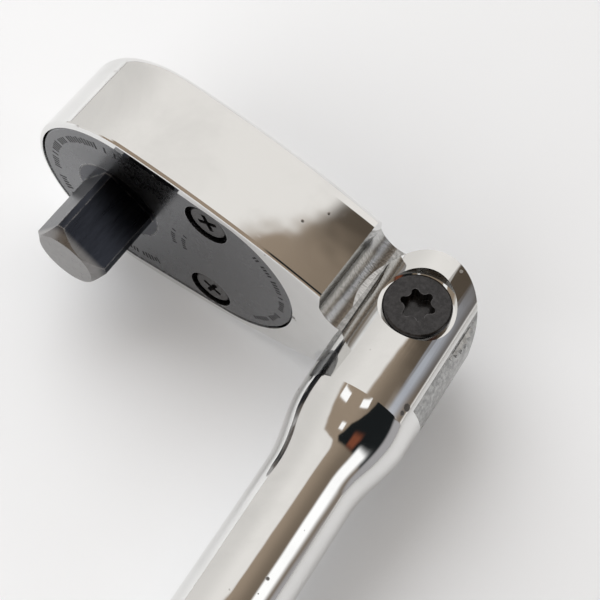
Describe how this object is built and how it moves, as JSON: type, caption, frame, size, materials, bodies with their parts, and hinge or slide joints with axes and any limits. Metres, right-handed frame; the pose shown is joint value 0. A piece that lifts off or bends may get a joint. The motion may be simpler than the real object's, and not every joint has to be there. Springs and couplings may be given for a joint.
{
  "type": "flex-head ratchet wrench",
  "caption": "Flex-head ratchet wrench with a sealed teardrop head, square drive with a detent ball, reversing lever, slotted yoke and a round chromed handle.",
  "frame": {"origin": "centre of the drive square's end face", "axes": "-Y along the drive out of the head, -X towards the tip of the head, +Z along the flex pivot on its screw head's side"},
  "size_m": [0.0778, 0.199, 0.0324],
  "materials": {
    "chrome": "polished",
    "phosphated_steel": "matte",
    "dark_steel": "satin",
    "black_steel": "satin",
    "bright_steel": "satin",
    "seal_rubber": "matte"
  },
  "bodies": {
    "handle": {"handle": "chrome", "pivot_screw": "black_steel", "friction_washers": "bright_steel", "flex_spring": "bright_steel"},
    "flex_plunger": {"flex_plunger": "bright_steel"},
    "head": {"head_body": "chrome", "cover_plate": "phosphated_steel", "cover_screws": "black_steel", "pawl_pin": "bright_steel", "thrust_washer": "bright_steel"},
    "drive": {"drive_gear": "dark_steel", "drive_seal": "seal_rubber", "ball_spring": "bright_steel"},
    "drive_ball": {"drive_ball": "bright_steel"},
    "pawl": {"pawl": "dark_steel"},
    "selector": {"selector_lever": "dark_steel", "selector_clip": "black_steel", "selector_seal": "seal_rubber", "selector_spring": "bright_steel"},
    "selector_plunger": {"selector_plunger": "bright_steel"}
  },
  "joints": [
    {"name": "head_flex", "type": "hinge", "parent": "handle", "child": "head", "pos_m": [0.0451, 0.01945, 0], "axis": [0, 0, 1], "range_deg": [-181.91, 7.91]},
    {"name": "flex_detent", "type": "slide", "parent": "handle", "child": "flex_plunger", "axis": [0.0523, -0.9986, 0], "range_m": [0, 0.0006], "stiffness_N_per_m": 4000, "springref_m": -0.001, "deforming": ["flex_spring"]},
    {"name": "drive_spin", "type": "hinge", "parent": "head", "child": "drive", "pos_m": [0, 0, 0], "axis": [0, 1, 0], "continuous": true},
    {"name": "ball_press", "type": "slide", "parent": "drive", "child": "drive_ball", "axis": [-0.809, 0, 0.5878], "range_m": [0, 0.0007], "stiffness_N_per_m": 3000, "springref_m": -0.001, "deforming": ["ball_spring"]},
    {"name": "selector_turn", "type": "hinge", "parent": "head", "child": "selector", "pos_m": [0.0234, 0.0264, 0], "axis": [0, -1, 0], "range_deg": [0, 64]},
    {"name": "pawl_rock", "type": "hinge", "parent": "head", "child": "pawl", "pos_m": [0.0154, 0.018, 0], "axis": [0, 1, 0], "range_deg": [0, 8]},
    {"name": "selector_detent", "type": "slide", "parent": "selector", "child": "selector_plunger", "axis": [0.848, 0, -0.5299], "range_m": [0, 0.0005], "stiffness_N_per_m": 2000, "springref_m": -0.001, "deforming": ["selector_spring"]}
  ],
  "couplings": [
    {"joint": "pawl_rock", "follows": "selector_turn", "ratio": 0.125}
  ]
}
